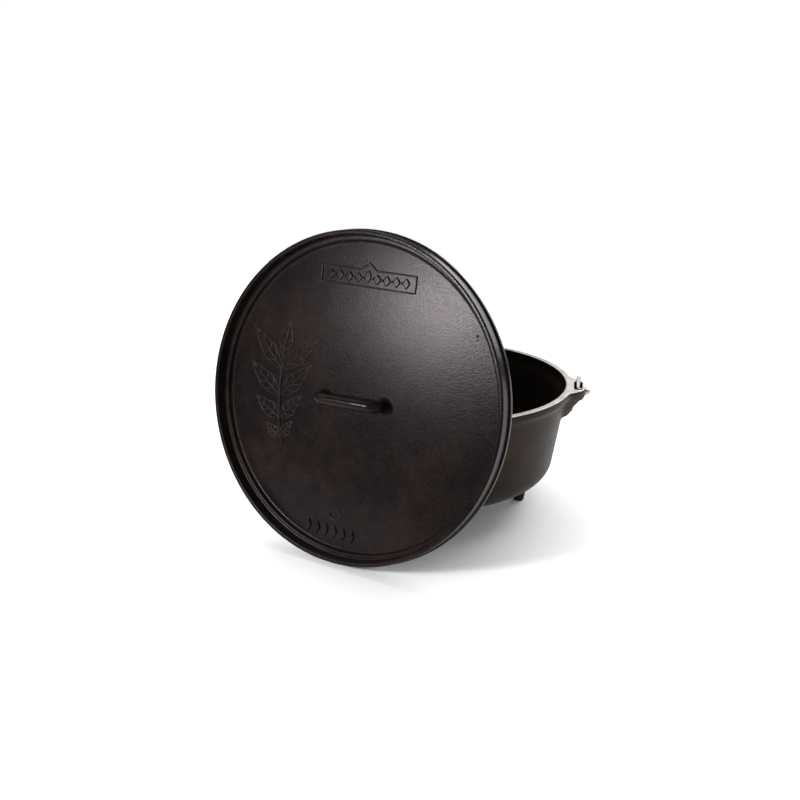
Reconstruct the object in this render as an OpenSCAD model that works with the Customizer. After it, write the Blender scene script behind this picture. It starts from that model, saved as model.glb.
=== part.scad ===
// Footed cast iron camp oven: a round pot on three legs with two bail lugs, a rimmed lid that leans
// against it, and a wire bail with a coil grip. The pot's axis is Z and its feet stand on Z = 0. The two
// lugs lie on the X axis, and the lid leans on the -Y side.

/* [Pot] */
// Inside diameter of the pot at its rim
pot_inner_d = 304.8; // [290:0.2:320]
// Outside diameter of the rim
rim_d = 320.8; // [312:0.2:330]
// Height of the rim above the floor
pot_h = 145; // [130:1:160]
// Height of the legs under the pot
leg_h = 34; // [20:1:40]
// Height of the thickened band at the rim
rim_band = 12; // [8:1:16]
// Outside radius of the wall just under the rim band
wall_top_r = 154.2; // [153.5:0.1:156]
// Outside radius where the wall would meet the underside
wall_base_r = 140.8; // [130:0.1:150]
// Radius of the rounding between the wall and the underside
base_round = 25; // [15:1:35]
// Thickness of the wall
wall_t = 4.4; // [3.5:0.1:6]
// Thickness of the bottom
base_t = 5; // [4:0.5:8]
// Distance of each leg from the pot's axis
leg_r = 109; // [95:1:112]
// Number of legs
leg_count = 3; // [3:1:4]

/* [Lugs] */
// Distance of a lug's outer end from the pot's axis
lug_tip_r = 174.6; // [174.2:0.1:178]
// Height of a lug against the wall
lug_h = 41; // [35:1:50]
// Radial width of the slot in a lug
slot_w = 8; // [7:0.1:8.4]
// Length of the slot along the rim
slot_l = 30; // [28:1:32]
// Distance of the slot's middle from the pot's axis
slot_r = 166.2; // [166:0.1:166.6]
// Depth of the bail's hinge axis under the rim
hinge_drop = 5.5; // [5:0.1:6]

/* [Lid] */
// Radius of the lip at its top edge
lip_r = 162.5; // [160:0.1:166]
// Width of the lip's top
lip_w = 4.3; // [3.5:0.1:6]
// Height of the lid from the flange's underside to the lip's top
lip_h = 18; // [14:0.5:22]
// Depth of the ledge below the lip's top
ledge_drop = 12; // [8:0.5:13]
// Depth of the plate below the lip's top
plate_drop = 17.3; // [14:0.1:18]
// Radius of the plate's upper face
plate_r = 150.4; // [145:0.1:150.8]
// Thickness of the plate
plate_t = 5.2; // [4:0.1:7]
// How far the flange stands out past the lip
flange_out = 2; // [1:0.1:3]
// Lean of the lid from upright
lean = 11.46; // [8:0.01:14]
// Angle round the pot at which the lid leans, from the -Y side
lean_side = -17.67; // [-30:0.01:0]
// Turn of the lid about its own middle
lid_turn = -1; // [-20:0.5:20]

/* [Lid handle] */
// Width of the handle over its feet
handle_w = 78; // [70:1:90]
// Height of the handle above the plate
handle_h = 23; // [21:1:30]
// Thickness of the handle's bar
handle_d = 11; // [9:0.5:12]

/* [Bail] */
// Diameter of the bail's wire
wire_d = 4.8; // [4.6:0.1:5]
// Radius of the bail's bow
bow_r = 167; // [166:0.1:170]
// Angle of the bail below level as it hangs behind the pot
hang = 23.5; // [18:0.5:23.5]
// Radial clearance of the wire in its bores
wire_fit = 0.05; // [0.01:0.01:0.1]
// Length of the turned-up end of the wire
hook_l = 21; // [14:1:22]
// Outside diameter of the grip
grip_d = 13; // [11:0.5:15]
// Length of the grip along the bow
grip_l = 108; // [80:1:120]

/* [Hidden] */
$fn = 96;
eps = 0.5;

// Pot
inner_r = pot_inner_d / 2;
rim_r = rim_d / 2;
rim_round = 1.2;
band_z = pot_h - rim_band;
taper = atan2(wall_top_r - wall_base_r, band_z - leg_h);

// Lugs and hinge
hinge_z = pot_h - hinge_drop;
wire_r = wire_d / 2;
elbow_x = lug_tip_r + 0.4 + wire_r;

// Lid
flange_r = lip_r + flange_out;
spigot_r = inner_r - 0.9;
// The lid's lowest edge stands on the floor, and its plate just clears the rim.
rest_gap = 0.4;
lid_z = flange_r * cos(lean) + lip_h * sin(lean);
back_drop = plate_drop + plate_t + rest_gap;
lid_out = rim_r + (back_drop - (lid_z - pot_h) * sin(lean)) / cos(lean);

// Bail
wire_sides = 16;
tube_r = wire_r - 0.01;
bend_r = 2.6;
hook_bend_r = 3;
// The bow leaves its circle at this angle, and runs in along the lug's flank at this slope
shoulder = 18;
flank = 40;
flank_y = 22;
shoulder_r = 12;
flank_r = 7;
// Half the bail's swing: the hook stands upright at the middle of it
hook_angle = (90 + hang) / 2;
pin_end = 4.5;
grip_bore = wire_d / 2 + wire_fit;

// Points on an arc about c, from angle a to angle b
function arc(c, r, a, b, n = 8) =
    [for (i = [0:n]) c + r * [cos(a + (b - a) * i / n), sin(a + (b - a) * i / n)]];

// Half section of the pot, kept d inside its outer face and with its bottom b above the underside
function bowl_face(d, b) =
    let (round_r = base_round - d, z0 = leg_h + b)
    let (zc = z0 + round_r)
    let (wall = wall_base_r + tan(taper) * (zc - leg_h) - d / cos(taper))
    let (rc = wall - round_r / cos(taper))
    concat([[0, z0]], arc([rc, zc], round_r, -90, -taper, 12));

module pot_section() {
    outer = bowl_face(0, 0);
    inner = bowl_face(wall_t, base_t);
    wall_in = wall_top_r - wall_t;
    polygon(concat(
        outer,
        [[wall_top_r, band_z]],
        arc([rim_r - 4, band_z + 5], 4, -60, 0),
        arc([rim_r - rim_round, pot_h - rim_round], rim_round, 0, 90, 4),
        arc([inner_r + rim_round, pot_h - rim_round], rim_round, 90, 180, 4),
        [[inner_r, band_z + 2], [wall_in, band_z - 6]],
        [for (i = [len(inner) - 1:-1:0]) inner[i]]));
}

// Outline of a lug seen from above: concave flanks that run from the rim to a narrow, rounded tip
module lug_outline() {
    half = concat(
        [[inner_r + 2, 34]],
        arc([176.5, 39], 16, 200, 243, 8),
        arc([lug_tip_r - 5, 9], 5, 42, 0, 6));
    polygon(concat(half, [for (i = [len(half) - 1:-1:0]) [half[i][0], -half[i][1]]]));
}

// Side view of a lug: level on top, with an underside that slopes down to the wall
module lug_profile() {
    root = wall_top_r - 2;
    polygon([
        [root, pot_h - 0.6],
        [lug_tip_r - 0.6, pot_h - 0.6],
        [lug_tip_r, pot_h - 1.2],
        [lug_tip_r, hinge_z - 6],
        [lug_tip_r - 4, hinge_z - 12],
        [root, pot_h - lug_h]]);
}

// A lug seen from its end: the full width at the top, narrowing down the wall
module lug_end() {
    half = concat([[36, pot_h]], arc([38, pot_h - 26], 20, 108, 180, 6), [[10, pot_h - lug_h]]);
    polygon(concat(half, [for (i = [len(half) - 1:-1:0]) [-half[i][0], half[i][1]]]));
}

module lug() {
    intersection() {
        translate([0, 0, pot_h - lug_h - 5]) linear_extrude(lug_h + 10) lug_outline();
        rotate([90, 0, 0]) linear_extrude(80, center = true) lug_profile();
        translate([inner_r - 5, 0, 0]) rotate([90, 0, 90]) linear_extrude(40) lug_end();
    }
}

module lug_slot() {
    translate([slot_r - slot_w / 2, -slot_l / 2, pot_h - lug_h - eps])
        cube([slot_w, slot_l, lug_h + 2 * eps]);
}

module lug_bore() {
    translate([slot_r, 0, hinge_z])
        rotate([0, 90, 0]) cylinder(r = wire_r + wire_fit, h = lug_tip_r - slot_r + eps);
}

module leg() {
    translate([leg_r, 0, 0]) cylinder(r1 = 6, r2 = 12, h = leg_h + base_t / 2);
}

module pot() {
    color("#2b2522")
    difference() {
        union() {
            rotate_extrude() pot_section();
            for (side = [0, 180]) rotate([0, 0, side]) difference() {
                lug();
                cylinder(r = inner_r + 2, h = pot_h + 1);
            }
            for (i = [0:leg_count - 1]) rotate([0, 0, 360 * i / leg_count]) leg();
        }
        for (side = [0, 180]) rotate([0, 0, side]) {
            lug_slot();
            lug_bore();
        }
    }
}

// Half section of the lid, with the lip's top at height 0
module lid_section() {
    lip_in = lip_r - lip_w;
    polygon(concat(
        [[0, -plate_drop], [plate_r, -plate_drop]],
        arc([plate_r + 3.6, -ledge_drop - 1.6], 1.6, 150, 90, 4),
        arc([lip_in - 1.5, -ledge_drop + 1.5], 1.5, 270, 360, 4),
        arc([lip_in + 1.2, -1.2], 1.2, 180, 90, 4),
        arc([lip_r - 1.2, -1.2], 1.2, 90, 0, 4),
        [[lip_r + 0.5, -ledge_drop]],
        arc([flange_r - 1.2, -ledge_drop - 1.8], 1.2, 80, 0, 4),
        arc([flange_r - 0.8, -lip_h + 0.8], 0.8, 0, -90, 4),
        [[spigot_r + 0.5, -lip_h], [spigot_r - 0.5, -plate_drop - plate_t + 1]],
        arc([spigot_r - 1.5, -plate_drop - plate_t + 1], 1, 0, -90, 4),
        [[0, -plate_drop - plate_t]]));
}

// Square-shouldered loop across the middle of the plate
module lid_handle() {
    half_w = handle_w / 2 - handle_d / 2;
    top_z = handle_h - handle_d / 2;
    bend = 9;
    foot = 6;
    translate([0, 0, -plate_drop]) {
        for (side = [0, 180]) rotate([0, 0, side]) {
            translate([half_w, 0, -1]) cylinder(d = handle_d, h = top_z - bend + 1);
            translate([half_w, 0, -0.5]) cylinder(d1 = handle_d + foot, d2 = handle_d, h = foot);
            translate([half_w - bend, 0, top_z - bend]) rotate([90, 0, 0])
                rotate_extrude(angle = 90) translate([bend, 0]) circle(d = handle_d);
        }
        translate([bend - half_w, 0, top_z])
            rotate([0, 90, 0]) cylinder(d = handle_d, h = 2 * (half_w - bend));
    }
}

module lid_place() {
    rotate([0, 0, lean_side]) translate([0, -lid_out, lid_z]) rotate([90 - lean, 0, 0])
        rotate([0, 0, lid_turn]) children();
}

module lid() {
    color("#211b19")
    lid_place() {
        rotate_extrude() lid_section();
        lid_handle();
    }
}

function unit(v) = v / norm(v);

// Points of the arc of radius r that rounds the corner at b between a and c
function rounded(a, b, c, r, n = 5) =
    let (u = unit(a - b), v = unit(c - b))
    let (half = acos(u * v) / 2)
    let (mid = b + unit(u + v) * r / sin(half))
    let (from = b + u * r / tan(half) - mid, to = b + v * r / tan(half) - mid)
    let (a0 = atan2(from[1], from[0]), a1 = atan2(to[1], to[0]))
    let (sweep = a1 - a0 > 180 ? a1 - a0 - 360 : a1 - a0 < -180 ? a1 - a0 + 360 : a1 - a0)
    arc(mid, r, a0, a0 + sweep, n);

// Wire along a flat path in the XY plane
module wire(path) {
    last = len(path) - 1;
    way = [for (i = [0:last]) unit(path[min(i + 1, last)] - path[max(i - 1, 0)])];
    points = [for (i = [0:last], j = [0:wire_sides - 1])
        let (a = 360 * j / wire_sides)
        [path[i][0] - way[i][1] * tube_r * cos(a),
         path[i][1] + way[i][0] * tube_r * cos(a),
         tube_r * sin(a)]];
    faces = concat(
        [[for (j = [0:wire_sides - 1]) j]],
        [[for (j = [wire_sides - 1:-1:0]) last * wire_sides + j]],
        [for (i = [0:last - 1], j = [0:wire_sides - 1])
            let (k = (j + 1) % wire_sides)
            [i * wire_sides + j, (i + 1) * wire_sides + j, (i + 1) * wire_sides + k, i * wire_sides + k]]);
    polyhedron(points, faces);
}

// The wire in the XY plane from the hinge pin at the +X lug to the middle of the bow: out of the lug,
// round its end, in along its flank and on to the bow's circle
function bail_path() =
    let (start = bow_r * [cos(shoulder), sin(shoulder)])
    let (pin = [lug_tip_r - 1, 0], elbow = [elbow_x, 0], heel = [elbow_x, flank_y])
    let (flank_way = [-sin(flank), cos(flank)], bow_way = [sin(shoulder), -cos(shoulder)])
    let (gap = start - heel)
    let (along = (gap[0] * flank_way[1] - gap[1] * flank_way[0])
        / (flank_way[0] * bow_way[1] - flank_way[1] * bow_way[0]))
    let (knee = start + along * bow_way)
    concat(
        [pin],
        rounded(pin, elbow, heel, bend_r),
        rounded(elbow, heel, knee, flank_r),
        rounded(heel, knee, start, shoulder_r),
        arc([0, 0], bow_r, shoulder, 90, 20));

module bail_wire() {
    half = bail_path();
    other = [for (i = [len(half) - 2:-1:0]) [-half[i][0], half[i][1]]];
    hook_foot = [slot_r + pin_end, 0];
    hook_turn = [slot_r, 0];
    hook_tip = [slot_r, hook_l];
    color("#8b8a86")
    translate([0, 0, hinge_z]) {
        rotate([-hang, 0, 0]) wire(concat(half, other));
        for (side = [0, 1]) mirror([side, 0, 0]) {
            translate([slot_r + hook_bend_r - 0.5, 0, 0])
                rotate([0, 90, 0]) cylinder(r = wire_r, h = lug_tip_r + 0.3 - slot_r - hook_bend_r + 0.5);
            rotate([90 - hook_angle, 0, 0])
                wire(concat([hook_foot], rounded(hook_foot, hook_turn, hook_tip, hook_bend_r), [hook_tip]));
        }
    }
}

// Close-wound coil round the middle of the bow, drawn as a sleeve of the coil's outside diameter
module bail_grip_coil() {
    span = grip_l / bow_r * 180 / PI;
    color("#77756f")
    translate([0, 0, hinge_z]) rotate([-hang, 0, 0])
        rotate([0, 0, 90 - span / 2]) rotate_extrude(angle = span, $fn = 180)
            translate([bow_r, 0]) difference() {
                circle(d = grip_d, $fn = 48);
                circle(r = grip_bore, $fn = 48);
            }
}

pot();
lid();
bail_wire();
bail_grip_coil();
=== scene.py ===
import math
import random

import bmesh
import bpy
from mathutils import Matrix, Vector
from mathutils.noise import noise


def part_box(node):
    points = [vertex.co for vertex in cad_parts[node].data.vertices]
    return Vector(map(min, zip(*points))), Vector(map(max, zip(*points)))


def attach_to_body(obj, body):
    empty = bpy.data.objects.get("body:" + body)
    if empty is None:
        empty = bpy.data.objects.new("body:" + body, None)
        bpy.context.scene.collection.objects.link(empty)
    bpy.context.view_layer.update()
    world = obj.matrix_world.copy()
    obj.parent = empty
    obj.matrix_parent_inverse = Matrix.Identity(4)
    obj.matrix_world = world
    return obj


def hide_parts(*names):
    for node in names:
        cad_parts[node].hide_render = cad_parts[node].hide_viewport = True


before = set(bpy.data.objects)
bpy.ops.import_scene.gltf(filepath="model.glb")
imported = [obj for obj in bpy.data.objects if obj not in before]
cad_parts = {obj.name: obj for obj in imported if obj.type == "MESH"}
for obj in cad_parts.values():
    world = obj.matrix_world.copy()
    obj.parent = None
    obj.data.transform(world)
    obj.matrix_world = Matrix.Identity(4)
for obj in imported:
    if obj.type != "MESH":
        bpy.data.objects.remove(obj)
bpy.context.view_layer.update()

MM = 0.001
TAU = 2 * math.pi

# ---------------------------------------------------------------- driving sizes, in millimetres
# The pot's axis is Z, its feet stand on Z = 0, and its two lugs lie on the X axis.
POT_H = 1000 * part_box("pot")[1].z
RIM_IN = 152.4
RIM_OUT = 160.4
RIM_BAND = 12
RIM_ROUND = 1.2
BAND_ROUND = 7
LEGS = 3
LEG_H = 34
LEG_R = 109
WALL_TOP = 154.2
WALL_BASE = 140.8
BASE_ROUND = 25
WALL_T = 4.4
BASE_T = 5

LUG_TIP = 174.6
LUG_H = 41
LUG_BLEND = 3
SLOT_R = 166.2
SLOT_W = 8
SLOT_L = 30
HINGE_Z = POT_H - 5.5

LIP_R = 162.5
LIP_W = 4.3
LIP_H = 18
LEDGE_DROP = 12
PLATE_DROP = 17.3
PLATE_R = 150.4
PLATE_T = 5.2
FLANGE_R = LIP_R + 2
SPIGOT_R = RIM_IN - 0.9
LEAN = math.radians(11.46)
LEAN_SIDE = math.radians(-17.67)
LID_TURN = math.radians(-1)
REST_GAP = 0.4

HANDLE_W = 80
HANDLE_H = 24
HANDLE_D = 12
HANDLE_BEND = 9
HANDLE_TURN = math.radians(2.5)
HANDLE_DROP = 1.5

WIRE_R = 2.4
BOW_R = 167
BOW_START = 18
HOOK_L = 21
HEEL_L = 22
FLANK_SLOPE = 40
HANG = math.radians(23.5)
GRIP_R = 6.5
GRIP_L = 108
GRIP_TURNS = 34

# Where the lid's middle stands: its flange is on the floor and its plate just clears the rim
LID_Z = FLANGE_R * math.cos(LEAN) + LIP_H * math.sin(LEAN)
LID_OUT = RIM_OUT + (PLATE_DROP + PLATE_T + REST_GAP - (LID_Z - POT_H) * math.sin(LEAN)) / math.cos(LEAN)
LID_PLACE = (
    Matrix.Rotation(LEAN_SIDE, 4, "Z")
    @ Matrix.Translation((0, -LID_OUT, LID_Z))
    @ Matrix.Rotation(math.pi / 2 - LEAN, 4, "X")
    @ Matrix.Rotation(LID_TURN, 4, "Z")
)
PLATE_PLACE = LID_PLACE @ Matrix.Translation((0, 0, -PLATE_DROP))
BAIL_PLACE = Matrix.Translation((0, 0, HINGE_Z)) @ Matrix.Rotation(-HANG, 4, "X")


# ---------------------------------------------------------------- mesh helpers
def arc(cx, cz, r, a, b, n=8):
    """Points on an arc about (cx, cz), from angle a to angle b in degrees."""
    steps = [math.radians(a + (b - a) * i / n) for i in range(n + 1)]
    return [(cx + r * math.cos(t), cz + r * math.sin(t)) for t in steps]


def supported(profile, hold=0.5, longest=6.0):
    """The profile with extra points on its long straights, so that smooth shading stays flat there."""
    out = [profile[0]]
    for (r0, z0), (r1, z1) in zip(profile, profile[1:]):
        length = math.hypot(r1 - r0, z1 - z0)
        cuts = []
        if length > 3 * hold:
            inner = max(1, int(length / longest))
            cuts = [hold / length] + [k / inner for k in range(1, inner)] + [1 - hold / length]
        out += [(r0 + (r1 - r0) * t, z0 + (z1 - z0) * t) for t in cuts]
        out.append((r1, z1))
    return out


def new_object(name, bm, place, material):
    """Turns a bmesh in millimetres into an object in metres."""
    bmesh.ops.recalc_face_normals(bm, faces=bm.faces)
    bmesh.ops.transform(bm, matrix=Matrix.Scale(MM, 4) @ place, verts=bm.verts)
    mesh = bpy.data.meshes.new(name)
    bm.to_mesh(mesh)
    bm.free()
    for polygon in mesh.polygons:
        polygon.use_smooth = True
    obj = bpy.data.objects.new(name, mesh)
    bpy.context.scene.collection.objects.link(obj)
    obj.data.materials.append(material)
    return obj


def bridge_rings(bm, rings, closed_ring=True):
    """Quads between each ring of vertices and the next."""
    for low, high in zip(rings, rings[1:]):
        count = len(low)
        last = count if closed_ring else count - 1
        for j in range(last):
            k = (j + 1) % count
            corners = [low[j], low[k], high[k], high[j]]
            distinct = list(dict.fromkeys(corners))
            if len(distinct) > 2:
                bm.faces.new(distinct)


def revolve(profile, angles, shift=None):
    """A bmesh of revolution about Z. shift(r, z, angle) may move each point's radius."""
    bm = bmesh.new()
    rings = []
    for r, z in profile:
        if r < 1e-6:
            rings.append([bm.verts.new((0, 0, z))] * len(angles))
            continue
        ring = []
        for a in angles:
            rr = shift(r, z, a) if shift else r
            ring.append(bm.verts.new((rr * math.cos(a), rr * math.sin(a), z)))
        rings.append(ring)
    bridge_rings(bm, rings)
    return bm


def even_angles(count):
    return [TAU * i / count for i in range(count)]


def sweep(bm, path, radii, sides=20, up=Vector((0, 0, 1))):
    """A capped tube along a path of points, with a radius for each point."""
    rings = []
    last = len(path) - 1
    side = None
    for i, point in enumerate(path):
        way = (path[min(i + 1, last)] - path[max(i - 1, 0)]).normalized()
        if side is None:
            side = way.cross(up).normalized()
        side = (side - way * side.dot(way)).normalized()
        lift = side.cross(way)
        ring = []
        for j in range(sides):
            t = TAU * j / sides
            ring.append(bm.verts.new(point + radii[i] * (math.cos(t) * side + math.sin(t) * lift)))
        rings.append(ring)
    bridge_rings(bm, rings)
    bm.faces.new(rings[0])
    bm.faces.new(rings[-1])


def rounded(a, b, c, r, n=6):
    """Points of the arc of radius r that rounds the corner at b between a and c."""
    u, v = (a - b).normalized(), (c - b).normalized()
    half = u.angle(v) / 2
    mid = b + (u + v).normalized() * r / math.sin(half)
    start = b + u * r / math.tan(half) - mid
    end = b + v * r / math.tan(half) - mid
    spin = start.rotation_difference(end)
    points = []
    for i in range(n + 1):
        q = spin.copy()
        q.angle = spin.angle * i / n
        points.append(mid + q @ start)
    return points


# ---------------------------------------------------------------- materials
def link(tree, a, b):
    tree.links.new(a, b)


def node(tree, kind, **values):
    made = tree.nodes.new(kind)
    for key, value in values.items():
        setattr(made, key, value)
    return made


def ramp(tree, source, stops, colours=True):
    """A colour ramp on a value: stops is a list of (place, colour or grey)."""
    made = node(tree, "ShaderNodeValToRGB")
    link(tree, source, made.inputs["Fac"])
    elements = made.color_ramp.elements
    while len(elements) < len(stops):
        elements.new(0.5)
    for element, (place, shade) in zip(elements, stops):
        element.position = place
        element.color = (*shade, 1) if colours else (shade, shade, shade, 1)
    return made.outputs["Color"]


def noise_of(tree, coords, scale, detail=3.0, roughness=0.55):
    made = node(tree, "ShaderNodeTexNoise")
    made.inputs["Scale"].default_value = scale
    made.inputs["Detail"].default_value = detail
    made.inputs["Roughness"].default_value = roughness
    link(tree, coords, made.inputs["Vector"])
    return made.outputs["Fac"]


def mix(tree, factor, a, b, blend="MIX"):
    """A mix of two colours, each a socket or a tuple, by a socket or a number."""
    made = node(tree, "ShaderNodeMix", data_type="RGBA", blend_type=blend)
    factor_in, a_in, b_in = (made.inputs[k] for k in (0, 6, 7))
    for socket, value in ((factor_in, factor), (a_in, a), (b_in, b)):
        if isinstance(value, (int, float)):
            socket.default_value = value
        elif isinstance(value, tuple):
            socket.default_value = (*value, 1)
        else:
            link(tree, value, socket)
    return made.outputs[2]


def start_material(name, metallic=0.0, specular=0.5, tint=(1, 1, 1)):
    material = bpy.data.materials.new(name)
    material.use_nodes = True
    tree = material.node_tree
    shader = tree.nodes["Principled BSDF"]
    shader.inputs["Metallic"].default_value = metallic
    shader.inputs["Specular IOR Level"].default_value = specular
    shader.inputs["Specular Tint"].default_value = (*tint, 1)
    coords = node(tree, "ShaderNodeTexCoord").outputs["Object"]
    return material, tree, shader, coords


def bump_chain(tree, shader, layers):
    """Bump from several heights: layers is a list of (socket, strength, distance in metres)."""
    normal = None
    for height, strength, distance in layers:
        made = node(tree, "ShaderNodeBump")
        made.inputs["Strength"].default_value = strength
        made.inputs["Distance"].default_value = distance
        link(tree, height, made.inputs["Height"])
        if normal:
            link(tree, normal, made.inputs["Normal"])
        normal = made.outputs["Normal"]
    link(tree, normal, shader.inputs["Normal"])


def edge_mask(tree, low, high):
    """White on worn convex edges."""
    geometry = node(tree, "ShaderNodeNewGeometry")
    return ramp(tree, geometry.outputs["Pointiness"], [(low, 0), (high, 1)], colours=False)


def seasoned_iron(name, dark, warm, rough_low, rough_high, tint, grain=0.5):
    """Black oiled iron: a sand-cast grain, brown patches of seasoning and lighter worn edges."""
    material, tree, shader, coords = start_material(name, specular=0.105, tint=tint)
    patches = noise_of(tree, coords, 16, 4, 0.6)
    cloud = noise_of(tree, coords, 60, 5, 0.65)
    sand = noise_of(tree, coords, 620, 4, 0.6)
    pits = noise_of(tree, coords, 1500, 2, 0.5)
    colour = mix(tree, ramp(tree, patches, [(0.38, 0), (0.66, 1)], False), dark, warm)
    mottle = ramp(tree, cloud, [(0.3, 0.72), (0.7, 1.3)], False)
    colour = mix(tree, 1.0, colour, mottle, "MULTIPLY")
    speck = ramp(tree, sand, [(0.35, 0.8), (0.68, 1.25)], False)
    colour = mix(tree, 1.0, colour, speck, "MULTIPLY")
    worn = tuple(min(1.0, 3.2 * c + 0.012) for c in warm)
    wear = mix(tree, 1.0, edge_mask(tree, 0.53, 0.62), speck, "MULTIPLY")
    link(tree, mix(tree, wear, colour, worn), shader.inputs["Base Color"])
    rough = node(tree, "ShaderNodeMapRange")
    rough.inputs["To Min"].default_value = rough_low
    rough.inputs["To Max"].default_value = rough_high
    rough.inputs["From Min"].default_value = 0.3
    rough.inputs["From Max"].default_value = 0.7
    link(tree, sand, rough.inputs["Value"])
    link(tree, rough.outputs["Result"], shader.inputs["Roughness"])
    bump_chain(tree, shader, [(cloud, 0.05, 0.0009), (sand, grain, 0.00035), (pits, grain * 0.6, 0.00012)])
    return material


def machined_iron(name):
    """Bare iron turned on a lathe: pale grey, with rings round the pot's axis."""
    material, tree, shader, coords = start_material(name, metallic=0.85, specular=0.5)
    split = node(tree, "ShaderNodeSeparateXYZ")
    link(tree, coords, split.inputs[0])
    flat = node(tree, "ShaderNodeCombineXYZ")
    link(tree, split.outputs["X"], flat.inputs["X"])
    link(tree, split.outputs["Y"], flat.inputs["Y"])
    length = node(tree, "ShaderNodeVectorMath", operation="LENGTH")
    link(tree, flat.outputs[0], length.inputs[0])
    rings = noise_of(tree, length.outputs["Value"], 2600, 2, 0.5)
    stain = noise_of(tree, coords, 70, 5, 0.7)
    clean, stained = (0.40, 0.375, 0.355), (0.22, 0.195, 0.175)
    grey = mix(tree, ramp(tree, stain, [(0.35, 0), (0.7, 1)], False), clean, stained)
    grey = mix(tree, 1.0, grey, ramp(tree, rings, [(0.3, 0.8), (0.7, 1.1)], False), "MULTIPLY")
    link(tree, grey, shader.inputs["Base Color"])
    link(tree, ramp(tree, stain, [(0.3, 0.34), (0.7, 0.52)], False), shader.inputs["Roughness"])
    bump_chain(tree, shader, [(rings, 0.25, 0.0001)])
    return material


def steel_wire(name, bright, dull, grime):
    """Plated steel wire: satin, with fine drawing marks and dark grime in patches."""
    material, tree, shader, coords = start_material(name, metallic=0.95, specular=0.5)
    patches = noise_of(tree, coords, 55, 5, 0.7)
    fine = noise_of(tree, coords, 1400, 3, 0.6)
    colour = mix(tree, ramp(tree, patches, [(0.35, 0), (0.68, 1)], False), bright, dull)
    colour = mix(tree, ramp(tree, patches, [(0.62, 0), (0.8, 0.7)], False), colour, grime)
    colour = mix(tree, 1.0, colour, ramp(tree, fine, [(0.3, 0.82), (0.7, 1.1)], False), "MULTIPLY")
    link(tree, mix(tree, edge_mask(tree, 0.56, 0.7), colour, bright), shader.inputs["Base Color"])
    link(tree, ramp(tree, patches, [(0.3, 0.26), (0.75, 0.5)], False), shader.inputs["Roughness"])
    bump_chain(tree, shader, [(fine, 0.2, 0.00008)])
    return material


COOL_SHEEN = (1.0, 0.92, 0.98)
WARM_SHEEN = (1.0, 0.80, 0.68)
LID_IRON = seasoned_iron(
    "lid_iron", (0.0070, 0.0054, 0.0056), (0.0125, 0.0082, 0.0072), 0.18, 0.28, COOL_SHEEN, 0.42
)
POT_IRON = seasoned_iron(
    "pot_iron", (0.0120, 0.0085, 0.0066), (0.0190, 0.0128, 0.0092), 0.38, 0.50, WARM_SHEEN
)
# The inside's iron: rougher than the outer iron, and its colours painted about half as dark, as shade
# inside the bowl.
SHADED_INNER_IRON = seasoned_iron(
    "pot_inner_iron_painted_shade", (0.0060, 0.0045, 0.0035), (0.0120, 0.0080, 0.0058), 0.50, 0.64, WARM_SHEEN
)
RIM_IRON = machined_iron("machined_rim")
BAIL_STEEL = steel_wire("bail_steel", (0.50, 0.48, 0.45), (0.30, 0.28, 0.26), (0.08, 0.07, 0.06))
GRIP_STEEL = steel_wire("grip_steel", (0.46, 0.44, 0.41), (0.26, 0.25, 0.23), (0.06, 0.05, 0.045))


# ---------------------------------------------------------------- pot
# Down from the rim: how far out the lug's middle reaches, and how wide it is on each side
LUG_OUTLINE = (
    (8.5, LUG_TIP),
    (11, LUG_TIP - 0.9),
    (17.5, LUG_TIP - 5),
    (33, 158),
    (36, WALL_TOP - 4),
    (LUG_H, WALL_TOP - 8),
)
LUG_SPREAD = ((3, 31.5), (8, 28), (12, 25), (20, 21), (28, 18), (LUG_H, 14))
# Height and extra half width of the slot cutter, from below the lug to above the rim
SLOT_LEVELS = (
    (POT_H - LUG_H - 12, 0.6),
    (POT_H - 4, 0),
    (POT_H - 0.8, 0.15),
    (POT_H - 0.1, 0.8),
    (POT_H + 3, 0.8),
)
LUG_ANGLE = 16
FINE_STEP = 0.4
COARSE_STEP = 1.6
OUTER_SLOT, RIM_SLOT, SHADED_INNER_SLOT = 0, 1, 2


def smooth_max(a, b, k):
    """The larger of a and b, with a soft join where they differ by less than k."""
    h = max(k - abs(a - b), 0) / k
    return max(a, b) + h * h * k / 4


def between(x, table):
    """Straight-line interpolation in a short table of (x, value) with rising x."""
    if x <= table[0][0]:
        return table[0][1]
    for (x0, v0), (x1, v1) in zip(table, table[1:]):
        if x <= x1:
            return v0 + (v1 - v0) * (x - x0) / (x1 - x0)
    return table[-1][1]


def wall_radius(z):
    """Outside radius of the wall at the height z, up to the rim band."""
    slope = (WALL_TOP - WALL_BASE) / (POT_H - RIM_BAND - LEG_H)
    return WALL_TOP - slope * max(0, POT_H - RIM_BAND - z)


def lug_reach(y, z):
    """The lug's outer face at (y, z): a rounded tip on top, drawn in towards the wall below the bore."""
    tip = between(POT_H - z, LUG_OUTLINE)
    spread = between(POT_H - z, LUG_SPREAD)
    root = math.sqrt((wall_radius(z) - 2.2) ** 2 - y * y)
    return root + (tip - root) * math.exp(-((abs(y) / spread) ** 3.2))


def lug_ray(z, a):
    """Distance from the axis to the lug's outer face along the ray at angle a, or 0 where it has none."""
    side, ahead = math.sin(a), abs(math.cos(a))
    if ahead < 0.9:
        return 0
    reach = RIM_OUT
    for _ in range(8):
        reach = (reach + lug_reach(reach * side, z) / ahead) / 2
    return reach


def pot_shift(r, z, a):
    """The outer wall and the rim run out into the lugs."""
    if z < POT_H - LUG_H - 6 or z <= POT_H - RIM_BAND and r < wall_radius(z) - WALL_T / 2:
        return r
    inner = RIM_IN + RIM_ROUND
    if z > POT_H - RIM_BAND and r < inner + 0.05:
        return r
    base = RIM_OUT if z > POT_H - RIM_ROUND - 0.01 else r
    grow = smooth_max(base, lug_ray(z, a), LUG_BLEND) - base
    share = min(1.0, (r - inner) / (RIM_OUT - RIM_ROUND - inner)) if z > POT_H - 0.1 else 1.0
    return r + grow * share


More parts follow.
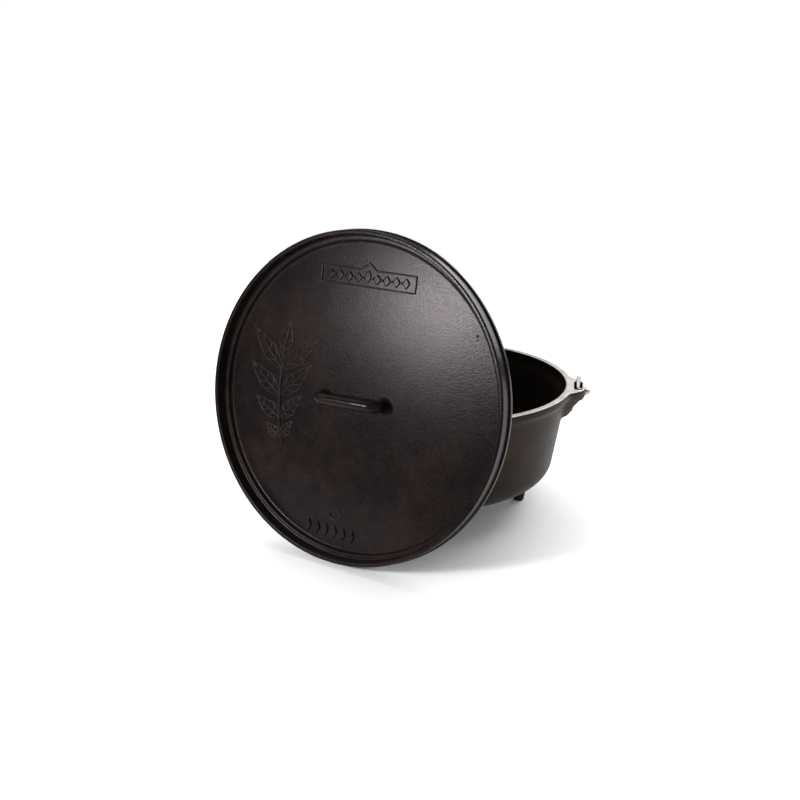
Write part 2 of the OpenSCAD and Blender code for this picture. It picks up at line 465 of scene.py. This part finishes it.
def bowl_face(inset, lift):
    """Half section of the bowl, kept inset inside its outer face and with its bottom lifted."""
    slope = math.atan2(WALL_TOP - WALL_BASE, POT_H - RIM_BAND - LEG_H)
    r = BASE_ROUND - inset
    zc = LEG_H + lift + r
    wall = WALL_BASE + math.tan(slope) * (zc - LEG_H) - inset / math.cos(slope)
    rc = wall - r / math.cos(slope)
    return [(0, LEG_H + lift)] + arc(rc, zc, r, -90, -math.degrees(slope), 14)


def pot_profile():
    outer = bowl_face(0, 0)
    inner = bowl_face(WALL_T, BASE_T)
    top = POT_H
    band = top - RIM_BAND
    return (
        outer
        + [(wall_radius(z), z) for z in (POT_H - LUG_H - 4 + 2 * k for k in range(14))]
        + [(WALL_TOP - 0.45, band - 4), (WALL_TOP + 0.2, band - 1.5), (WALL_TOP + 1.4, band + 0.6)]
        + arc(RIM_OUT - BAND_ROUND, band + BAND_ROUND + 0.6, BAND_ROUND, -50, 0, 8)
        + arc(RIM_OUT - RIM_ROUND, top - RIM_ROUND, RIM_ROUND, 0, 90, 6)
        + arc(RIM_IN + RIM_ROUND, top - RIM_ROUND, RIM_ROUND, 90, 180, 6)
        + [(RIM_IN, band + 3), (RIM_IN - 0.8, band), (WALL_TOP - WALL_T, band - 6)]
        + inner[::-1]
    )


def pot_angles():
    """Fine steps across the two lugs, and coarser ones between them."""
    angles = []
    a = 0.0
    while a < 360 - 1e-6:
        angles.append(math.radians(a))
        near = min(abs(a - lug) for lug in (0, 180, 360))
        a += FINE_STEP if near < LUG_ANGLE else COARSE_STEP
    return angles


def slot_cutter(side):
    """A slot with rounded corners that opens out a little at its top edge."""
    bm = bmesh.new()
    rings = []
    squareness = 0.32
    for z, grow in SLOT_LEVELS:
        ring = []
        for t in (TAU * (j + 0.5) / 32 for j in range(32)):
            c, s = math.cos(t), math.sin(t)
            x = SLOT_R + (SLOT_W / 2 + grow) * math.copysign(abs(c) ** squareness, c)
            y = (SLOT_L / 2 + grow) * math.copysign(abs(s) ** squareness, s)
            ring.append(bm.verts.new((side * x, y, z)))
        rings.append(ring)
    bridge_rings(bm, rings)
    bm.faces.new(rings[0])
    bm.faces.new(rings[-1])
    return new_object("slot_cutter", bm, Matrix.Identity(4), SHADED_INNER_IRON)


def bore_cutter(side):
    """The hole for the bail's end, widened where it leaves the lug's tip."""
    bm = bmesh.new()
    path = [Vector((side * x, 0, HINGE_Z)) for x in (SLOT_R, LUG_TIP - 0.7, LUG_TIP + 2)]
    sweep(bm, path, [WIRE_R + 0.12, WIRE_R + 0.12, WIRE_R + 0.9], 32)
    return new_object("bore_cutter", bm, Matrix.Identity(4), SHADED_INNER_IRON)


def cut(obj, tools):
    """Takes the tools out of the object, and removes them."""
    for tool in tools:
        modifier = obj.modifiers.new("cut", "BOOLEAN")
        modifier.operation = "DIFFERENCE"
        modifier.solver = "EXACT"
        modifier.object = tool
    graph = bpy.context.evaluated_depsgraph_get()
    mesh = bpy.data.meshes.new_from_object(obj.evaluated_get(graph))
    obj.modifiers.clear()
    bm = bmesh.new()
    bm.from_mesh(mesh)
    bmesh.ops.recalc_face_normals(bm, faces=bm.faces)
    bm.to_mesh(mesh)
    bm.free()
    obj.data = mesh
    for tool in tools:
        bpy.data.objects.remove(tool)
    mesh.set_sharp_from_angle(angle=math.radians(40))


def face_slots(obj, chooser):
    """Gives each face the material slot that chooser(middle, normal) returns, in millimetres."""
    for polygon in obj.data.polygons:
        polygon.material_index = chooser(polygon.center / MM, polygon.normal)


def pot_face(middle, normal):
    """The rim's flat top is machined, the inside gets a rougher iron whose darker colour is painted shade,
    and the rest is the outer iron.
    """
    r = math.hypot(middle.x, middle.y)
    if middle.z > POT_H - 0.7 and normal.z > 0.8:
        return RIM_SLOT
    outward = (middle.x * normal.x + middle.y * normal.y) / max(r, 1e-6)
    if r < RIM_IN + 0.6 and middle.z > LEG_H + BASE_T - 1 and (outward < 0 or normal.z > 0.3):
        return SHADED_INNER_SLOT
    return OUTER_SLOT


def make_pot():
    """The bowl and its lugs, with the slots and bores cut out; the cut adds materials that are dropped."""
    bm = revolve(supported(pot_profile(), 0.5, 8), pot_angles(), pot_shift)
    pot = new_object("pot_body", bm, Matrix.Identity(4), POT_IRON)
    pot.data.materials.append(RIM_IRON)
    pot.data.materials.append(SHADED_INNER_IRON)
    cut(pot, [slot_cutter(1), slot_cutter(-1), bore_cutter(1), bore_cutter(-1)])
    while len(pot.data.materials) > SHADED_INNER_SLOT + 1:
        pot.data.materials.pop()
    face_slots(pot, pot_face)
    return pot


def make_leg(index):
    """A tapered leg with a worn, rounded foot, that flares into the pot's bottom."""
    foot_r, foot_z, taper, flare = 6, 1.6, 5.4, 5.5
    profile = [(0, 0), (4.4, 0)] + arc(4.6, 1.4, 1.4, -90, -8, 5)
    for t in (i / 14 for i in range(1, 15)):
        profile.append((foot_r + taper * t + flare * t ** 7, foot_z + (LEG_H + 0.6 - foot_z) * t))
    profile.append((0, LEG_H + 2))
    a = TAU * index / LEGS
    place = Matrix.Translation((LEG_R * math.cos(a), LEG_R * math.sin(a), 0))
    return new_object(f"pot_leg_{index + 1}", revolve(supported(profile), even_angles(48)), place, POT_IRON)


# ---------------------------------------------------------------- lid
def lid_profile():
    lip_in = LIP_R - LIP_W
    under = -PLATE_DROP - PLATE_T
    return (
        [(0, -PLATE_DROP), (PLATE_R, -PLATE_DROP)]
        + arc(PLATE_R + 0.6, -PLATE_DROP + 2.2, 2.2, -80, -10, 5)
        + arc(PLATE_R + 4.6, -LEDGE_DROP - 1.6, 1.6, 165, 90, 6)
        + arc(lip_in - 1.7, -LEDGE_DROP + 1.7, 1.7, 270, 360, 6)
        + arc(lip_in + 1.3, -1.3, 1.3, 180, 90, 6)
        + arc(LIP_R - 1.3, -1.3, 1.3, 90, 0, 6)
        + [(LIP_R + 0.3, -LEDGE_DROP + 1)]
        + arc(LIP_R + 1.0, -LEDGE_DROP - 0.2, 0.7, 170, 260, 4)
        + arc(FLANGE_R - 1.2, -LEDGE_DROP - 2.1, 1.2, 80, 0, 6)
        + arc(FLANGE_R - 0.9, -LIP_H + 0.9, 0.9, 0, -90, 5)
        + [(SPIGOT_R + 0.8, -LIP_H)]
        + arc(SPIGOT_R + 0.8, -LIP_H - 0.8, 0.8, 90, 180, 4)
        + arc(SPIGOT_R - 1.5, under + 1.2, 1.2, 0, -90, 5)
        + [(0, under)]
    )


def make_lid():
    bm = revolve(supported(lid_profile(), 0.6, 5.0), even_angles(360))
    return new_object("lid_body", bm, LID_PLACE, LID_IRON)


def make_handle():
    """Square-shouldered loop with feet that spread on to the plate."""
    half = HANDLE_W / 2 - HANDLE_D / 2
    top = HANDLE_H - HANDLE_D / 2
    bend = HANDLE_BEND
    path = [Vector((-half, 0, -1 + k)) for k in range(int(top - bend) + 1)]
    path += [Vector((x, 0, z)) for x, z in arc(-half + bend, top - bend, bend, 180, 90, 10)]
    path += [Vector((x, 0, top)) for x in (-half + bend + 4 * k for k in range(1, 12))]
    path += [Vector((x, 0, z)) for x, z in arc(half - bend, top - bend, bend, 90, 0, 10)]
    path += [Vector((half, 0, top - bend - k)) for k in range(1, int(top - bend) + 2)]
    foot_h, foot_spread, unevenness = 5, 2.6, 0.35
    radii = []
    for point in path:
        spread = max(0.0, 1 - max(0.0, point.z) / foot_h)
        swell = unevenness * noise(point * 0.09)
        radii.append(HANDLE_D / 2 - 0.1 + foot_spread * spread ** 2 + swell)
    bm = bmesh.new()
    sweep(bm, path, radii, 28, Vector((0, 1, 0)))
    place = PLATE_PLACE @ Matrix.Translation((0, -HANDLE_DROP, 0)) @ Matrix.Rotation(HANDLE_TURN, 4, "Z")
    return new_object("lid_handle", bm, place, LID_IRON)


# ---------------------------------------------------------------- relief on the lid
# Places on the plate: X runs across it and Y up it. Sections are (place across, height) or (inset, height)
LINE_W = 2.4
LINE_H = 1.5
SPRIG_BASE = Vector((-80, -66))
SPRIG_HEIGHT = 112
LEAF_VEINS = 4
BAND_MIDDLE = Vector((-1, 118))
BAND_W = 105
BAND_H = 16
LOZENGES = 9
ROW_MIDDLE = Vector((-10.5, -137))
ROW_W = 62
ROW_H = 14
PIPS = 6
SPECKS = 26
LARGE_SPECKS = [(120, 81, 1.5), (-104, -96, 1.3), (-61, -10, 1.1)]
RIDGE_SECTION = ((-1, -0.35), (-0.82, 0.45), (-0.45, 0.9), (0, 1), (0.45, 0.9), (0.82, 0.45), (1, -0.35))
BOSS_SECTION = ((-0.5, -0.3), (0, 0.3), (0.35, 0.85), (0.8, 1.0), (1.6, 1.0))


def smooth_line(points, steps):
    """A Catmull-Rom curve through flat points."""
    ends = [2 * points[0] - points[1]] + list(points) + [2 * points[-1] - points[-2]]
    out = []
    for a, b, c, d in zip(ends, ends[1:], ends[2:], ends[3:]):
        for k in range(steps):
            t = k / steps
            out.append(0.5 * (2 * b + (c - a) * t + (2 * a - 5 * b + 4 * c - d) * t ** 2
                              + (3 * b - a - 3 * c + d) * t ** 3))
    return out + [points[-1]]


def ridge(bm, line, width, height, closed=False):
    """A low rounded ridge along a flat line, with its foot just under the plate and tapered open ends."""
    count = len(line)
    rings = []
    for i, p in enumerate(line):
        before = line[i - 1] if closed or i else line[0]
        after = line[(i + 1) % count] if closed or i < count - 1 else line[-1]
        way = (after - before).normalized()
        across = Vector((-way.y, way.x))
        end = 1.0
        if not closed:
            end = min(1.0, 0.35 + 2.2 * min(i, count - 1 - i) / count)
        ring = []
        for s, h in RIDGE_SECTION:
            q = p + across * s * width / 2 * end
            ring.append(bm.verts.new((q.x, q.y, h * height * (end if h > 0 else 1))))
        rings.append(ring)
    if closed:
        rings.append(rings[0])
    bridge_rings(bm, rings, closed_ring=False)


def boss(bm, outline, height, bevel):
    """A raised flat patch with sloping sides, over a closed outline."""
    middle = sum(outline, Vector((0, 0))) / len(outline)
    rings = []
    for inset, h in BOSS_SECTION:
        ring = []
        for p in outline:
            out = p - middle
            q = p - out.normalized() * min(inset * bevel, out.length * 0.8)
            ring.append(bm.verts.new((q.x, q.y, h * height)))
        rings.append(ring)
    bridge_rings(bm, rings)
    bm.faces.new(rings[-1])


def pointed_oval(middle, length, width, angle, n=16):
    """The outline of a leaf or lozenge with rounded sides, pointed at both ends."""
    c, s = math.cos(angle), math.sin(angle)
    points = []
    for k in range(2 * n):
        t = k / n if k < n else (2 * n - k) / n
        x = (t - 0.5) * length
        y = (0.5 if k < n else -0.5) * width * math.sin(math.pi * t) ** 0.9
        points.append(Vector((middle.x + c * x - s * y, middle.y + s * x + c * y)))
    return points


def leaf(bm, base, tip, width):
    """An outlined leaf with a midrib and slanting side veins."""
    axis = tip - base
    length = axis.length
    along = axis / length
    across = Vector((-along.y, along.x))
    sides = {}
    for sign in (-1, 1):
        line = []
        for k in range(15):
            t = k / 14
            bulge = math.sin(math.pi * t ** 0.8) * (1 - 0.25 * t)
            notch = 0.06 * math.sin(t * math.pi * 6) * bulge
            line.append(base + axis * t + across * sign * width / 2 * (bulge + notch))
        sides[sign] = line
        ridge(bm, line, LINE_W, LINE_H)
    ridge(bm, [base + axis * k / 9 for k in range(9)], LINE_W * 0.9, LINE_H)
    for k in range(LEAF_VEINS):
        t = 0.18 + 0.6 * k / (LEAF_VEINS - 1)
        root = base + axis * t
        for sign in (-1, 1):
            end = sides[sign][min(13, int((t + 0.16) * 14))]
            vein = [root + (end - root) * j / 5 + along * 0.04 * length * (j / 5) ** 2 for j in range(6)]
            ridge(bm, vein, LINE_W * 0.7, LINE_H * 0.75)


def sprig():
    """A leafy branch that stands at the left of the plate, rising and spreading."""
    bm = bmesh.new()
    lean = ((0, 0), (-0.05, 0.22), (-0.08, 0.45), (-0.09, 0.68), (-0.08, 0.84))
    stem = smooth_line([SPRIG_BASE + SPRIG_HEIGHT * Vector(p) for p in lean], 10)
    ridge(bm, stem, LINE_W * 1.4, LINE_H * 1.15)
    leaf_pairs = ((0.12, 24, 12, 44), (0.32, 38, 16, 50), (0.54, 52, 18, 48), (0.80, 58, 18, 46))
    for share, length, width, spread in leaf_pairs:
        index = int(share * (len(stem) - 1))
        root = stem[index]
        way = (stem[min(index + 2, len(stem) - 1)] - stem[index - 2]).normalized()
        for sign in (-1, 1):
            turn = math.radians(sign * spread)
            c, s = math.cos(turn), math.sin(turn)
            out = Vector((way.x * c - way.y * s, way.x * s + way.y * c))
            leaf(bm, root + out * 2, root + out * length, width)
    leaf(bm, stem[-1], stem[-1] + Vector((0.1, 1)).normalized() * 38, 17)
    return bm


def band():
    """A bordered band with a peak in the middle of its top edge, and a row of lozenges in it."""
    bm = bmesh.new()
    w, h = BAND_W / 2, BAND_H / 2
    corners = [(-w, -h), (w, -h), (w, h), (9, h), (0, h + 7), (-9, h), (-w, h)]
    line = []
    for (x0, y0), (x1, y1) in zip(corners, corners[1:] + corners[:1]):
        steps = max(2, int(math.hypot(x1 - x0, y1 - y0) / 3))
        for k in range(steps):
            line.append(BAND_MIDDLE + Vector((x0 + (x1 - x0) * k / steps, y0 + (y1 - y0) * k / steps)))
    ridge(bm, line, 2.0, LINE_H, closed=True)
    pitch = (BAND_W - 10) / LOZENGES
    for i in range(LOZENGES):
        x = (i - (LOZENGES - 1) / 2) * pitch
        tall = 13 if i == (LOZENGES - 1) // 2 else 10
        middle = BAND_MIDDLE + Vector((x, 2 if tall > 10 else 0))
        boss(bm, pointed_oval(middle, tall, 7.4, math.pi / 2), LINE_H, 0.9)
        if i:
            gap = BAND_MIDDLE + Vector((x - pitch / 2, 0))
            boss(bm, pointed_oval(gap, 3.0, 2.6, math.pi / 2, 6), LINE_H * 0.9, 0.5)
    return bm


def pips():
    """A row of leaf-shaped pips, under one small open lozenge."""
    bm = bmesh.new()
    for i in range(PIPS):
        middle = ROW_MIDDLE + Vector(((i - (PIPS - 1) / 2) * ROW_W / PIPS, 0))
        boss(bm, pointed_oval(middle, ROW_H, 7.6, math.pi / 2), LINE_H * 1.3, 0.8)
    mark = ROW_MIDDLE + Vector((5, 17.5))
    ridge(bm, pointed_oval(mark, 16, 10, 0, 10), 2.0, LINE_H, closed=True)
    return bm


def make_relief():
    ornaments = {"sprig": sprig(), "band": band(), "pips": pips()}
    return [new_object(f"lid_relief_{name}", bm, PLATE_PLACE, LID_IRON) for name, bm in ornaments.items()]


def make_specks():
    """Small casting bumps on the plate."""
    bm = bmesh.new()
    pick = random.Random(12)
    spots = list(LARGE_SPECKS)
    for _ in range(SPECKS):
        a, r = pick.uniform(0, TAU), PLATE_R * 0.96 * math.sqrt(pick.random())
        spots.append((r * math.cos(a), r * math.sin(a), pick.uniform(0.3, 0.8)))
    for x, y, r in spots:
        flattened = Matrix.Translation((x, y, 0)) @ Matrix.Diagonal((1, 1, 0.4, 1))
        bmesh.ops.create_icosphere(bm, subdivisions=3, radius=r, matrix=flattened)
    return new_object("lid_specks", bm, PLATE_PLACE, LID_IRON)


# ---------------------------------------------------------------- bail
def cross_flat(a, b):
    return a.x * b.y - a.y * b.x


def bow_point(degrees):
    """A point on the bow, from 0 on its +X side to 90 in its middle."""
    t = math.radians(degrees)
    return Vector((BOW_R * math.cos(t), BOW_R * math.sin(t), 0))


def bail_half():
    """The wire from the tip of its turned-up end, through the +X lug and round to the middle of the bow."""
    hinge = Vector((SLOT_R, 0, 0))
    hook_turn = (math.pi / 2 + HANG) / 2
    tip = hinge + HOOK_L * Vector((0, math.cos(hook_turn), math.sin(hook_turn)))
    elbow = Vector((LUG_TIP + REST_GAP + WIRE_R, 0, 0))
    heel = elbow + Vector((0, HEEL_L, 0))
    start = bow_point(BOW_START)
    slope, way = math.radians(FLANK_SLOPE), math.radians(BOW_START)
    flank_way = Vector((-math.sin(slope), math.cos(slope), 0))
    bow_way = Vector((math.sin(way), -math.cos(way), 0))
    gap = start - heel
    along = cross_flat(gap, flank_way) / cross_flat(flank_way, bow_way)
    knee = start + along * bow_way
    path = [tip + (hinge - tip) * k / 6 for k in range(5)]
    path += rounded(tip, hinge, elbow, 3.0, 7)
    path += rounded(hinge, elbow, heel, 2.6, 7)
    path += rounded(elbow, heel, knee, 7)
    path += rounded(heel, knee, start, 12)
    path += [bow_point(BOW_START + (90 - BOW_START) * k / 36) for k in range(37)]
    return path


def make_wire():
    """The whole bail, its two tips rounded off."""
    half = bail_half()
    inner = half[1:] + [Vector((-p.x, p.y, p.z)) for p in half[-2:0:-1]]
    way = (half[1] - half[0]).normalized()
    head = [half[0] + way * inset for inset in (0.0, 0.7, 1.5)]
    tail = [Vector((-p.x, p.y, p.z)) for p in reversed(head)]
    ends = [WIRE_R * share for share in (0.55, 0.86, 0.97)]
    path = head + inner + tail
    radii = ends + [WIRE_R] * len(inner) + ends[::-1]
    bm = bmesh.new()
    sweep(bm, path, radii, 24)
    return new_object("bail_wire", bm, BAIL_PLACE, BAIL_STEEL)


def make_coil():
    """The grip: one wire wound closely round the middle of the bow."""
    wire = GRIP_L / GRIP_TURNS / 2 * 0.96
    winding = GRIP_R - wire - 0.05
    steps = 22
    span = math.degrees((GRIP_L - 2 * wire) / BOW_R)
    total = GRIP_TURNS * steps
    path = []
    for i in range(total + 1):
        t = math.radians(90 - span / 2 + span * i / total)
        out = Vector((math.cos(t), math.sin(t), 0))
        turn = TAU * i / steps
        path.append(BOW_R * out + winding * (math.cos(turn) * out + math.sin(turn) * Vector((0, 0, 1))))
    bm = bmesh.new()
    sweep(bm, path, [wire] * len(path), 10)
    return new_object("bail_grip_coil", bm, BAIL_PLACE, GRIP_STEEL)


# ---------------------------------------------------------------- join to the frame
def attach(pieces, body, node_name):
    """The pieces move with the body, and stand in for the CAD node."""
    for piece in pieces:
        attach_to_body(piece, body)
        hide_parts(node_name)


def build():
    attach([make_pot()] + [make_leg(i) for i in range(LEGS)], "pot", "pot")
    attach([make_lid(), make_handle(), make_specks()] + make_relief(), "lid", "lid")
    attach([make_wire()], "bail", "bail_wire")
    attach([make_coil()], "bail", "bail_grip_coil")


# ---------------------------------------------------------------- floor, light and camera
def make_floor():
    """A pale floor that stops short in front, where the lid's lower half would mirror it."""
    material, tree, shader, coords = start_material("floor", specular=0.1)
    tone = ramp(tree, noise_of(tree, coords, 3, 2), [(0.3, (0.93, 0.93, 0.93)), (0.7, (0.96, 0.96, 0.96))])
    link(tree, tone, shader.inputs["Base Color"])
    shader.inputs["Roughness"].default_value = 0.8
    front, back, side = -0.42, 1.5, 2.4
    mesh = bpy.data.meshes.new("floor")
    corners = [(-side, front, 0), (side, front, 0), (side, back, 0), (-side, back, 0)]
    mesh.from_pydata(corners, [], [(0, 1, 2, 3)])
    floor = bpy.data.objects.new("floor", mesh)
    bpy.context.scene.collection.objects.link(floor)
    floor.data.materials.append(material)


def softbox(name, place, target, size, power):
    """A white area light at a place, turned to a target, that the camera doesn't see."""
    data = bpy.data.lights.new(name, "AREA")
    data.shape = "RECTANGLE"
    data.size, data.size_y = size
    data.energy = power
    light = bpy.data.objects.new(name, data)
    bpy.context.scene.collection.objects.link(light)
    light.location = place
    light.rotation_euler = (Vector(target) - Vector(place)).to_track_quat("-Z", "Y").to_euler()
    light.visible_camera = False


def make_world(diffuse, glossy):
    """White to the camera, a soft grey on matt surfaces and nearly black in reflections."""
    world = bpy.data.worlds.new("studio")
    bpy.context.scene.world = world
    world.use_nodes = True
    tree = world.node_tree
    tree.nodes.clear()
    path = node(tree, "ShaderNodeLightPath")
    shade = None
    for strength, ray in ((1.0, None), (diffuse, "Is Diffuse Ray"), (glossy, "Is Glossy Ray")):
        light = node(tree, "ShaderNodeBackground")
        light.inputs["Color"].default_value = (1, 1, 1, 1)
        light.inputs["Strength"].default_value = strength
        if ray:
            choice = node(tree, "ShaderNodeMixShader")
            link(tree, path.outputs[ray], choice.inputs[0])
            link(tree, shade, choice.inputs[1])
            link(tree, light.outputs[0], choice.inputs[2])
            shade = choice.outputs[0]
        else:
            shade = light.outputs[0]
    link(tree, shade, node(tree, "ShaderNodeOutputWorld").inputs["Surface"])


def make_camera():
    """The camera looks down at the lid from the front and a little to the right."""
    azimuth, elevation, roll = math.radians(11.55), math.radians(18.74), math.radians(0.96)
    aim = Vector((-0.0372, 0.0090, 0.1079))
    distance = 0.9816
    back = Vector((math.sin(azimuth) * math.cos(elevation), -math.cos(azimuth) * math.cos(elevation),
                   math.sin(elevation)))
    right = Vector((math.cos(azimuth), math.sin(azimuth), 0))
    up = back.cross(right)
    turned = right * math.cos(roll) + up * math.sin(roll)
    lift = back.cross(turned)
    data = bpy.data.cameras.new("camera")
    data.sensor_width = 36
    data.lens = 37.434
    camera = bpy.data.objects.new("camera", data)
    bpy.context.scene.collection.objects.link(camera)
    rotation = Matrix((turned, lift, back)).transposed().to_4x4()
    camera.matrix_world = Matrix.Translation(aim + back * distance) @ rotation
    bpy.context.scene.camera = camera


def make_studio():
    """The small key makes the lid's sheen; the others light the floor, the rim and the right flank."""
    make_camera()
    make_floor()
    make_world(0.45, 0.012)
    softbox("key", (-0.475, -0.725, 0.385), (0.024, -0.18, 0.24), (0.12, 0.12), 6.6)
    softbox("top", (0, 1.35, 2.0), (0, 0.7, 0), (4.2, 2.4), 90)
    softbox("back", (0.9, 1.7, 0.8), (0, 0, 0.2), (1.6, 1.0), 20)
    softbox("right", (1.5, -0.35, 0.6), (0.1, 0, 0.1), (0.7, 0.9), 4)
    bpy.context.scene.view_settings.view_transform = "Standard"


build()
make_studio()
